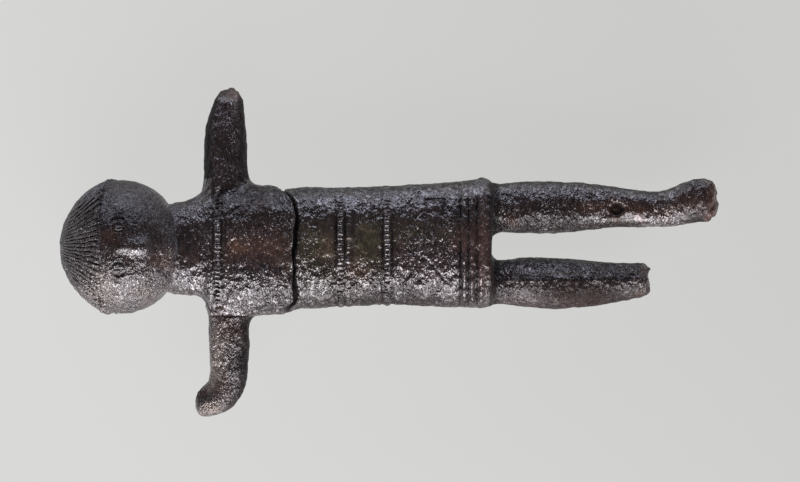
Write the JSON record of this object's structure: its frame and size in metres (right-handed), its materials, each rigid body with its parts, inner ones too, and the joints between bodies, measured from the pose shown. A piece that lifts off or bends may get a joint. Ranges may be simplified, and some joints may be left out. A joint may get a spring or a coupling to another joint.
{
  "type": "bronze votive figurine",
  "caption": "Small cast bronze votive figurine with a ball head and combed hair, arms stretched out sideways, a beaded bodice over a banded tunic, and two legs with broken ends.",
  "frame": {"origin": "middle of the ground that the figurine covers, at the ground, as it lies on its back", "axes": "+X from the head to the feet, +Y to the figure's own left, +Z out of the figure's front, away from the ground"},
  "size_m": [0.0824, 0.0414, 0.015],
  "materials": {
    "bronze": "solid cast bronze under a thin, dark brown to black patina, granular and softly glossy, with copper red, olive green and pale worn places"
  },
  "bodies": {
    "root": {"figurine": "bronze"}
  },
  "joints": []
}
